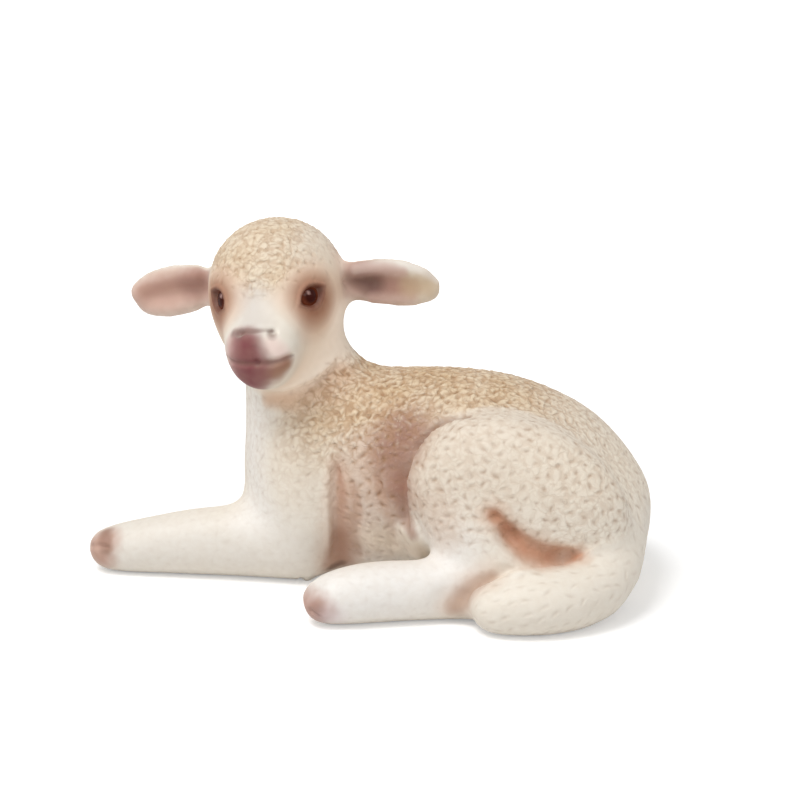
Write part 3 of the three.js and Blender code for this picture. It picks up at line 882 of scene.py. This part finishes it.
# %% Press all the dents
BEND = 0.45
RIDGE_PLACE = 2.1
RIDGE_SHARE = 0.45

offset = points[touched] - points[seeds[owner]]
u = 2 * (offset * flow[owner]).sum(axis=1) / length[owner]
v = 2 * (offset * across[owner]).sum(axis=1) / width[owner]
v -= BEND * u**2
same_side = gain((normals[touched] * out[owner]).sum(axis=1), 0.1, 0.6)
groove = np.exp(-1.1 * u**2 - v**2) * same_side
ridge = np.exp(-0.9 * u**2 - (v - RIDGE_PLACE) ** 2) * same_side
relief += np.bincount(touched, depth[owner] * (RIDGE_SHARE * ridge - groove), len(points))
settle(0)
pit = np.zeros(len(points))
np.maximum.at(pit, touched, groove)
crest = np.zeros(len(points))
np.maximum.at(crest, touched, ridge)
print("height with the wool", points[:, 2].max().round(1), "mm")

# %% [markdown]
# The paint. A cream coat covers everything. The airbrush lays tan over the wool and painted shade in brown
# into the folds, with lighter coats as painted light where the figure lies in shade, and a small brush does
# the eyes, the nose, the lips and the hooves. Last, a thin brown wash runs into the dents and stays there.
# The colours are kept on the skin's points, mixed coat over coat. Each stroke says its colour as the eye
# reads it, its path, its width in millimetres, at each place if it varies, and its share.

# %% Tools for the paint
CREAM = (232, 224, 211)
paint = np.tile(plain(*CREAM)[:3], (len(points), 1))


def cloud(size, seed):
    """An even random pattern from -1 to 1, with patches of about this size in millimetres."""
    shift = Vector((17.0 * seed, 5.0 * seed, 0))
    return np.array([noise.noise(Vector(place) / size + shift) for place in points])


patches = cloud(3.0, 1)
specks = cloud(0.7, 2)


def coat(shade, share):
    """Lay a colour over the paint, as thick as the share says."""
    paint[:] += np.clip(share, 0, 1)[:, None] * (np.array(plain(*shade)[:3]) - paint)


def stroke(shade, path, width, share):
    """One soft stroke of the brush along a path, a little uneven, as a dry brush leaves it."""
    mark = brush(path, width) ** 0.7
    coat(shade, share * mark * (1 + 0.5 * (1 - mark) * (patches + specks)))


# %% [markdown]
# The broad coats come first: tan on the back and the crown, white on the rump and the cheek, and pale greys
# on the bridge of the nose and the legs. The white on the rump and the cheek is lighter than their own
# cream, painted light where they lie in shade, and the grey on the white bridge is painted shade.

# %% Tan and white
surface = skin_tree()
coat((214, 188, 152), back * (0.85 + 0.3 * patches))
coat((222, 202, 174), crown * (0.85 + 0.3 * patches))
crown_side = gain(leftward, 2.0, 5.0)
coat((234, 227, 217), 0.6 * crown * crown_side)
# Painted light: the rump's own cream, made lighter where the lamps reach it less.
coat((247, 239, 224), 0.9 * rump * (1 + 0.2 * patches))
coat((221, 213, 204), 0.55 * thigh * (1 + 0.4 * patches))
coat((229, 209, 186), 0.85 * near_head * fade(forward, 4.5, 8.5) * (1 - crown) * (1 - near_ear))
coat((224, 208, 186), 0.5 * faint * gain(up, 8, 14) * gain(along, 3, 8))
left_shank = seen_at((330, 598), (380, 590), (440, 568))
left_forearm = seen_at((125, 545), (200, 540), (280, 545))
bridge = seen_at((252, 300), (252, 322))
breast_front = seen_at((254, 415), (252, 460), (256, 510))
cheek = seen_at((338, 318), (336, 345), (318, 370), (298, 384))
temple = seen_at((346, 262), (343, 285))
thigh_foot = seen_at((432, 508), (442, 530))
flank_middle = seen_at((364, 462), (366, 500), (368, 540))
stroke((240, 237, 233), left_shank, 6.0, 0.85)
stroke((228, 223, 215), left_forearm, 5.0, 0.7)
# Painted shade: grey over the white bridge of the nose.
stroke((207, 200, 193), bridge, 2.8, 0.8)
stroke((240, 237, 233), breast_front, 4.0, 0.6)
# Painted light: the cheek's own pale colour, made lighter where it turns into shade.
stroke((254, 238, 220), cheek, [3.2, 4.5, 4.5, 3.4], 0.95)
stroke((230, 200, 180), temple, 3.0, 0.7)
stroke((206, 182, 162), thigh_foot, 3.2, 0.5)
stroke((196, 164, 144), flank_middle, 4.2, 0.5)
print("mean of the paint so far", paint.mean(axis=0).round(3))

# %% [markdown]
# Every fold gets painted shade: a wide soft coat of light brown, and a narrower darker one over it, as an
# airbrush held closer gives. A dark mark by the elbow is a painted contact shadow, and a light coat at the
# belly's edge is painted light over the shade there.

# %% Painted shade in the folds
arm_shade = seen_at((338, 466), (342, 492), (342, 530), (340, 558))
flank_shade = seen_at((404, 440), (397, 462), (400, 485))
knee_shade = seen_at((403, 485), (406, 515), (412, 534))
hollow_shade = seen_at((494, 514), (510, 532), (526, 549), (545, 556), (578, 556))
hock_shade = seen_at((455, 607), (465, 595), (478, 585), (491, 577))
chin_shade = seen_at((268, 400), (298, 401), (325, 391), (344, 373))
armpit_shade = seen_at((340, 535), (338, 562))
flank_top_shade = seen_at((406, 429), (390, 444))
belly_edge_light = seen_at((376, 542), (416, 554))
thigh_line_shade = seen_at((470, 417), (440, 424), (420, 444))
elbow_pit_shadow = seen_at((332, 567), (341, 563))
stroke((204, 162, 138), arm_shade, [1.6, 2.6, 3.2, 3.6], 0.5)
stroke((160, 102, 72), arm_shade, [0.3, 0.9, 1.6, 2.4], 0.55)
stroke((150, 96, 66), armpit_shade, [1.4, 2.4], 0.45)
for fold in flank_folds:
    stroke((172, 130, 106), fold, [0.5, 0.8, 0.9, 0.8], 0.55)
stroke((184, 142, 120), flank_shade, [5.6, 5.2, 4.4], 0.6)
stroke((136, 90, 76), flank_shade, [4.2, 3.6, 2.4], 0.7)
stroke((150, 104, 88), flank_top_shade, 3.0, 0.45)
# Painted light: a light coat over the shade at the belly's edge.
stroke((246, 230, 210), belly_edge_light, 3.0, 0.8)
stroke((146, 98, 80), knee_shade, [2.2, 1.6, 1.0], 0.7)
stroke((122, 82, 62), thigh_line_shade, [0.4, 0.9, 0.7], 0.6)
stroke((204, 162, 134), hollow_shade, [2.2, 2.5, 3.0, 3.0, 1.8], 0.6)
stroke((174, 108, 70), hollow_shade, [1.2, 1.5, 1.9, 1.8, 0.8], 0.8)
stroke((204, 164, 136), hock_shade, 2.6, 0.35)
stroke((158, 112, 82), hock_shade, [1.4, 1.8, 1.6, 1.0], 0.6)
# Painted contact shadow between the elbow and the hind hoof.
stroke((92, 58, 44), elbow_pit_shadow, 0.8, 0.7)
stroke((200, 154, 116), chin_shade, [1.2, 1.8, 2.0, 1.8], 0.65)
print("with the browns", paint.mean(axis=0).round(3))

# %% [markdown]
# The ears are pink inside and darkest near the root. The left ear is seen from its front and shows a
# pale rim, a brown patch at the root and a lighter foot.

# %% The ears
left_inside = seen_at((362, 281), (388, 284), (410, 288))
left_dark = seen_at((361, 276), (372, 283))
left_foot = seen_at((374, 301), (393, 303), (410, 300))
left_top = seen_at((355, 269), (370, 269), (388, 269), (402, 272))
left_rim = seen_at((356, 269), (385, 265), (415, 267), (438, 278))
left_tip = seen_at((405, 288), (432, 287))
left_middle = seen_at((380, 288), (396, 290))
left_edge = seen_at((412, 286), (426, 285))
right_inside = seen_at((200, 287), (168, 292), (142, 298))
right_top = seen_at((196, 280), (168, 284), (144, 291))
right_dark = seen_at((203, 281), (194, 285))
stroke((212, 190, 164), left_tip, 2.4, 0.7)
stroke((176, 132, 116), left_inside, [3.1, 2.9, 1.5], 0.9)
stroke((160, 112, 98), left_middle, 1.9, 0.5)
stroke((132, 88, 78), left_dark, 2.8, 0.6)
stroke((92, 56, 50), left_dark, 1.8, 0.85)
stroke((206, 168, 156), left_foot, 1.3, 0.6)
stroke((202, 176, 140), left_edge, 1.9, 0.6)
stroke((236, 228, 220), left_rim, 0.7, 0.6)
stroke((198, 160, 148), left_top, [1.4, 1.0, 0.9, 0.8], 0.65)
stroke((200, 158, 142), right_inside, [3.4, 4.2, 3.2], 0.95)
stroke((180, 134, 118), right_top, [1.8, 1.6, 1.2], 0.8)
stroke((150, 104, 92), right_dark, 2.6, 0.7)
print("with the ears", paint.mean(axis=0).round(3))

# %% [markdown]
# Round each eye the brown grows darker towards the lids. The nose is mauve with a thin dark line over
# it, and the lips and nostrils are drawn along the same paths that cut them.

# %% Round the eyes, the nose and the mouth
for eye in eyes.values():
    ring, upward = eye.ring()
    below = np.linalg.norm(points - eye.middle + 0.45 * eye.up, axis=1)
    coat((208, 162, 132), 0.75 * fade(below + 0.4 * patches, 1.8, 4.8))
    coat((142, 86, 56), 0.88 * fade(below, 1.5, 3.5))
    coat((92, 36, 16), 0.92 * fade(ring, 0.95, 1.5))
nose_front = seen_at((246, 342), (249, 360), (250, 382))
upper_lip = seen_at((272, 346), (281, 353))
lower_lip = seen_at((258, 374), (273, 373), (286, 364))
nose_line = seen_at((234, 333), (252, 332), (272, 331))
nose_side = seen_at((236, 345), (234, 360), (240, 378))
stroke((234, 206, 198), upper_lip, 1.4, 0.7)
stroke((148, 102, 80), lower_lip, [1.9, 2.0, 1.4], 1)
stroke((190, 142, 140), nose_side, 2.2, 0.8)
stroke((138, 82, 82), nose_front, [2.2, 2.8, 2.7], 0.9)
stroke((120, 57, 61), nose_front, [1.9, 2.5, 2.5], 1)
stroke((112, 82, 74), nose_line, [0.65, 0.48, 0.32], 0.75)
for places in (nostril, other_side(nostril)):
    stroke((110, 78, 72), on_face(*places), 0.7, 0.6)
for places in (lip_line, other_side(lip_line)):
    stroke((118, 74, 66), on_face(*places), [0.4, 0.4, 0.35, 0.15], 0.6)
print("with the face", paint.mean(axis=0).round(3))

# %% [markdown]
# The hooves are mauve brown, and darker where the hair begins.

# %% The hooves
left_fore_hoof = seen_at((100, 557), (94, 547), (103, 541))
left_hind_hoof = seen_at((305, 606), (316, 611))
fore_hair_line = seen_at((106, 532), (107, 548))
hind_hair_line = seen_at((316, 606), (318, 618))
hind_pastern = seen_at((330, 618))
stroke((184, 144, 128), left_fore_hoof, 2.6, 0.95)
stroke((140, 100, 82), fore_hair_line, 1.1, 0.8)
stroke((182, 142, 130), left_hind_hoof, 2.6, 0.95)
stroke((158, 116, 100), hind_hair_line, 1.3, 0.7)
stroke((216, 198, 200), hind_pastern, 2.2, 0.5)
print("with the hooves", paint.mean(axis=0).round(3))

# %% [markdown]
# The lamb's right side is unseen, so it gets what the left side has: painted shade where the legs lie on the
# body, and painted hooves.

# %% The far side



def front_end(name):
    """The skin over the foremost place of a leg."""
    places = [vert.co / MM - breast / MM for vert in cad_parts[name].data.vertices]
    return np.array(surface.find_nearest(min(places, key=lambda place: place.x))[0])


behind = gain(aside, 0, 2)
hip_shade = behind * seam("trunk", "right_hind_leg", 3.0) * fade(along, 28, 34) * fade(up, 12, 17)
hip_line_shade = behind * seam("trunk", "right_hind_leg", 1.6) * fade(along, 26, 32) * fade(up, 10, 15)
shoulder_shade = behind * seam("trunk", "right_foreleg", 2.4) * gain(along, 4, 8) * fade(up, 9, 13)
coat((206, 164, 138), 0.6 * hip_shade)
coat((152, 102, 80), 0.6 * hip_line_shade)
coat((204, 162, 138), 0.5 * shoulder_shade)
for name in ("right_foreleg", "right_hind_leg"):
    stroke((184, 144, 128), [front_end(name)], 2.6, 0.9)
print("with the far side", paint.mean(axis=0).round(3))

# %% [markdown]
# The wash is thickest where the wool is dense. A pale dry brush then takes the crests, and the last coat
# dulls the whole figure a little.

# %% The wash in the dents
wash = 0.2 - 0.13 * near_ground + 0.42 * back + 0.16 * crown + 0.28 * thigh + 0.2 * rump + 0.1 * on_tail
flank_front = seen_at((395, 436), (386, 462), (388, 495), (396, 525))
wash += 0.4 * brush(flank_front, 3.2)
coat((138, 98, 66), pit * wash * (1 + 0.6 * patches))
coat((238, 222, 194), 0.4 * crest * dense)
under_jaw = seen_at((308, 412), (336, 402), (358, 386))
stroke((220, 196, 170), under_jaw, 2.8, 0.45)
coat((196, 174, 146), 0.06 + 0.08 * specks)
tufts = (0.2 - 0.14 * near_ground) * faint + back + 0.7 * crown + 0.12 * thigh + 0.15 * rump
wool = np.clip(tufts, 0, 1) * (1 - bare)
print("mean of the finished paint", paint.mean(axis=0).round(3))

# %% [markdown]
# The skin is cut apart at the seams of the frame. Each piece is what the skin shares with its solid,
# grown a little, and the trunk is what is left. The cuts lie inside the figure.

# %% Cut the skin into the nine pieces
GROWTH = 0.6 * MM
KNIFE_GRAIN = 0.4 * MM
CUT_ORDER = (
    "left_ear",
    "right_ear",
    "tail",
    "left_hind_leg",
    "right_hind_leg",
    "left_foreleg",
    "right_foreleg",
    "head",
)


def knife(name):
    """One solid of the frame, grown and with an even grain, to cut with."""
    return with_modifier(swollen(name, GROWTH), "REMESH", mode="VOXEL", voxel_size=KNIFE_GRAIN)


def cut(mesh, blade, operation):
    """What a Boolean with the blade leaves of a mesh."""
    holder = bpy.data.objects.new("blade", blade)
    bpy.context.scene.collection.objects.link(holder)
    made = with_modifier(mesh, "BOOLEAN", object=holder, operation=operation, solver="MANIFOLD")
    bpy.data.objects.remove(holder)
    return made


write_points(skin, points)
shape = {"trunk": skin}
for name in CUT_ORDER:
    blade = knife(name)
    shape[name] = cut(shape["trunk"], blade, "INTERSECT")
    shape["trunk"] = cut(shape["trunk"], blade, "DIFFERENCE")
print("cut into", len(shape), "pieces")

# %% [markdown]
# The cuts can leave loose crumbs inside the figure, where nobody sees them. Each piece keeps only its
# largest loose part.

# %% Drop the crumbs


def islands(mesh):
    """The loose parts of a mesh, as lists of points, the largest first."""
    bm = bmesh.new()
    bm.from_mesh(mesh)
    bm.verts.ensure_lookup_table()
    visited = set()
    found = []
    for vert in bm.verts:
        if vert.index in visited:
            continue
        group = [vert.index]
        visited.add(vert.index)
        for index in group:
            for edge in bm.verts[index].link_edges:
                other = edge.other_vert(bm.verts[index]).index
                if other not in visited:
                    visited.add(other)
                    group.append(other)
        found.append(group)
    bm.free()
    return sorted(found, key=len, reverse=True)


def drop_crumbs(mesh):
    """Leave only the largest loose part of a mesh."""
    parts = islands(mesh)
    crumbs = [index for part in parts[1:] for index in part]
    bm = bmesh.new()
    bm.from_mesh(mesh)
    bm.verts.ensure_lookup_table()
    bmesh.ops.delete(bm, geom=[bm.verts[index] for index in crumbs], context="VERTS")
    bm.to_mesh(mesh)
    bm.free()
    return len(crumbs)


for name, mesh in shape.items():
    crumbs = drop_crumbs(mesh)
    triangles = sum(len(face.vertices) - 2 for face in mesh.polygons)
    print(name, triangles, "triangles, crumbs of", crumbs, "points dropped")

# %% [markdown]
# Where a cut comes out to the surface, the pieces keep the normals of the whole skin, so that light runs
# over the seams as over the real figure. Each point of a piece takes its normal, its paint and its wool
# from the nearest quad of the whole skin.

# %% Read the whole skin at any place
whole = skin_tree()


def on_whole(mesh):
    """For each point of a piece, the four nearest points of the whole skin and their shares."""
    places = read_points(mesh)
    nearest = [whole.find_nearest(place)[2] for place in places]
    near = corners[nearest]
    far = np.linalg.norm(points[near] - places[:, None], axis=2)
    shares = 1 / (far + 0.001) ** 2
    return near, shares / shares.sum(axis=1, keepdims=True)


# %% [markdown]
# Painted vinyl is matt with a faint sheen, and the spray leaves a fine grain. The colours come from the
# skin. Only what is too fine for its points is left to the material: the grain of the tufts, as a bump,
# with a little more wash in its hollows and dry brush on its crests.

# %% The painted vinyl as a material
VINYL_ROUGHNESS = 0.55
BUMP_HEIGHT = 0.16 * MM
BUMP_STRENGTH = 0.8
TUFTS_PER_MM = 1.7
CURLS_PER_MM = 3.4
GRAINS_PER_MM = 3.0
SWIRLS_PER_MM = 0.9
SWIRL = (1.6, 1.6, 1.6)


def vinyl(name):
    """The material that shows the paint and the wool kept on a mesh's points."""
    made, surface_wire = new_material(name)
    coats = surface_wire.node("ShaderNodeAttribute", {"attribute_name": "paint"})
    wool = surface_wire.node("ShaderNodeAttribute", {"attribute_name": "wool"}, output=2)
    place = surface_wire.node("ShaderNodeTexCoord", output=3)
    place = surface_wire.node("ShaderNodeVectorMath", {"operation": "SCALE"}, {0: place, "Scale": 1 / MM})
    swirl_values = {"Vector": place, "Scale": SWIRLS_PER_MM, "Detail": 1.0}
    swirl = surface_wire.node("ShaderNodeTexNoise", values=swirl_values, output=1)
    bent = surface_wire.node(
        "ShaderNodeVectorMath", {"operation": "MULTIPLY_ADD"}, {0: swirl, 1: SWIRL, 2: place}
    )
    tuft = surface_wire.node("ShaderNodeTexVoronoi", values={"Vector": bent, "Scale": TUFTS_PER_MM})
    curl = surface_wire.node("ShaderNodeTexVoronoi", values={"Vector": bent, "Scale": CURLS_PER_MM})
    grain_values = {"Vector": place, "Scale": GRAINS_PER_MM, "Detail": 3.0}
    grain = surface_wire.node("ShaderNodeTexNoise", values=grain_values)
    height = wool * (1 - 1.2 * tuft**2 - 0.5 * curl**2) + 0.12 * grain
    bump = surface_wire.node(
        "ShaderNodeBump", values={"Strength": BUMP_STRENGTH, "Distance": BUMP_HEIGHT, "Height": height}
    )
    hollow_share = surface_wire.node(
        "ShaderNodeMapRange", values={"Value": tuft, "From Min": 0.35, "From Max": 0.75}
    )
    crest_share = surface_wire.node(
        "ShaderNodeMapRange", values={"Value": tuft, "From Min": 0.3, "From Max": 0.05}
    )
    washed = coats.mixed(plain(168, 126, 86), wool * hollow_share * 0.6)
    dry_brushed = washed.mixed(plain(240, 226, 202), wool * crest_share * 0.3)
    shader = surface_wire.node(
        "ShaderNodeBsdfPrincipled",
        values={"Base Color": dry_brushed, "Roughness": VINYL_ROUGHNESS, "Normal": bump},
    )
    surface_wire.tree.links.new(shader.socket, surface_wire.socket)
    return made


painted = vinyl("painted_vinyl")
print("material", painted.name, "with", len(painted.node_tree.nodes), "nodes")

for name, mesh in shape.items():
    near, shares = on_whole(mesh)
    direction = (normals[near] * shares[..., None]).sum(axis=1)
    direction /= np.linalg.norm(direction, axis=1, keepdims=True)
    colour = np.ones((len(mesh.vertices), 4))
    colour[:, :3] = (paint[near] * shares[..., None]).sum(axis=1)
    mesh.color_attributes.new("paint", "FLOAT_COLOR", "POINT").data.foreach_set("color", colour.ravel())
    woolly = (wool[near] * shares).sum(axis=1)
    mesh.attributes.new("wool", "FLOAT", "POINT").data.foreach_set("value", woolly)
    mesh.polygons.foreach_set("use_smooth", np.ones(len(mesh.polygons), bool))
    mesh.normals_split_custom_set_from_vertices(direction)
    mesh.materials.clear()
    mesh.materials.append(painted)
    piece = bpy.data.objects.new("painted_" + name, mesh)
    bpy.context.scene.collection.objects.link(piece)
    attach(piece, "root")
    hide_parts(name)
    print(piece.name, "takes the place of", name)

# %% [markdown]
# The eyeballs are glossy brown balls with a dark red-brown pupil. Each has a small bright spot painted on in
# one place above the pupil, a painted highlight.

# %% The eyeballs
BALL = 1.9
BALL_DEPTH = 2.02
IRIS = (112, 54, 32)
PUPIL = (58, 15, 5)
GLINT = (196, 158, 150)
GLINT_RISE = 0.45
GLINT_ASIDE = 0.1
EYE_ROUGHNESS = 0.12
EYE_SHEEN = 0.07

gloss, gloss_surface = new_material("eye_gloss")
eye_paint = gloss_surface.node("ShaderNodeAttribute", {"attribute_name": "paint"})
eye_shader = gloss_surface.node(
    "ShaderNodeBsdfPrincipled",
    values={"Base Color": eye_paint, "Roughness": EYE_ROUGHNESS, "Specular IOR Level": EYE_SHEEN},
)
gloss_surface.tree.links.new(eye_shader.socket, gloss_surface.socket)
for side, eye in eyes.items():
    bm = bmesh.new()
    bmesh.ops.create_uvsphere(bm, u_segments=64, v_segments=32, radius=BALL * MM)
    centre = (eye.middle - eye.out * BALL_DEPTH + ORIGIN) * MM
    bmesh.ops.translate(bm, verts=bm.verts, vec=centre)
    mesh = bpy.data.meshes.new(side + "_eyeball")
    bm.to_mesh(mesh)
    bm.free()
    places = read_points(mesh)
    spread = np.linalg.norm(np.cross(places + (eye.out * BALL_DEPTH - eye.middle), eye.out), axis=1)
    colour = np.ones((len(places), 4))
    glint_place = eye.middle + GLINT_RISE * eye.up + GLINT_ASIDE * eye.across
    glint = np.linalg.norm(np.cross(places - glint_place, eye.out), axis=1)
    for shade, share in (
        (IRIS, np.ones(len(places))),
        (PUPIL, fade(spread, 0.6, 0.9)),
        (GLINT, 0.8 * fade(glint, 0.1, 0.26)),
    ):
        colour[:, :3] += share[:, None] * (np.array(plain(*shade)[:3]) - colour[:, :3])
    mesh.color_attributes.new("paint", "FLOAT_COLOR", "POINT").data.foreach_set("color", colour.ravel())
    mesh.polygons.foreach_set("use_smooth", np.ones(len(mesh.polygons), bool))
    mesh.materials.append(gloss)
    ball = bpy.data.objects.new(side + "_eyeball", mesh)
    bpy.context.scene.collection.objects.link(ball)
    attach(ball, "root")
    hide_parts("head")
    print(ball.name, "is", 2 * BALL, "mm thick")
